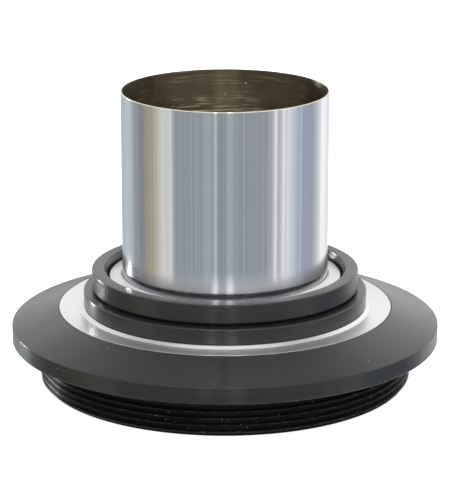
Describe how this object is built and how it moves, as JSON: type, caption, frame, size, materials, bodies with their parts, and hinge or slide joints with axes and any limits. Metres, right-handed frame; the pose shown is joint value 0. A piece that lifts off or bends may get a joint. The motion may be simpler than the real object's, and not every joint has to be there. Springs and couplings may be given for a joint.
{
  "type": "barlow lens camera nosepiece",
  "caption": "Push-in chrome nosepiece with a negative lens, on a height-adjustable carrier ring with a lock ring, above a black flange with a camera thread.",
  "frame": {"origin": "centre of the threaded end face, which is the face the part stands on", "axes": "+Z along the optical axis, from the camera thread towards the rim of the push-in tube; +X and +Y across the round flange"},
  "size_m": [0.0484, 0.0484, 0.0332],
  "materials": {
    "black_anodised": "fine-turned, black anodised, satin",
    "bare_aluminium": "freshly turned, bright, with circular tool marks",
    "chrome_plate": "mirror chrome on a thin brass tube, bare brass bore with fine tool marks",
    "matt_black_metal": "matt black glare paint",
    "optical_glass": "polished and coated, faint green reflection"
  },
  "bodies": {
    "flange": {"flange_body": "black_anodised", "seat_bush": "bare_aluminium", "bush_nut": "black_anodised"},
    "lock": {"lock_ring": "black_anodised"},
    "lift": {"barlow_flint_lens": "optical_glass", "barlow_crown_lens": "optical_glass"},
    "carrier": {"carrier_ring": "black_anodised", "travel_stop_ring": "black_anodised", "nosepiece_base": "chrome_plate", "nosepiece_tube": "chrome_plate", "rear_baffle": "matt_black_metal", "lens_cell": "matt_black_metal", "lens_retaining_ring": "matt_black_metal", "cell_lock_ring": "matt_black_metal", "glare_stop": "matt_black_metal"}
  },
  "joints": [
    {"name": "lock_ring_turn", "type": "hinge", "parent": "flange", "child": "lock", "pos_m": [0, 0, 0.0097], "axis": [0, 0, 1], "range_deg": [0, 120]},
    {"name": "carrier_lift", "type": "slide", "parent": "flange", "child": "lift", "axis": [0, 0, 1], "range_m": [0, 0.00112]},
    {"name": "carrier_turn", "type": "hinge", "parent": "lift", "child": "carrier", "pos_m": [0, 0, 0.0119], "axis": [0, 0, 1], "range_deg": [0, 540]}
  ],
  "couplings": [
    {"joint": "carrier_lift", "follows": "carrier_turn", "m_per_rad": 0.00011937}
  ]
}
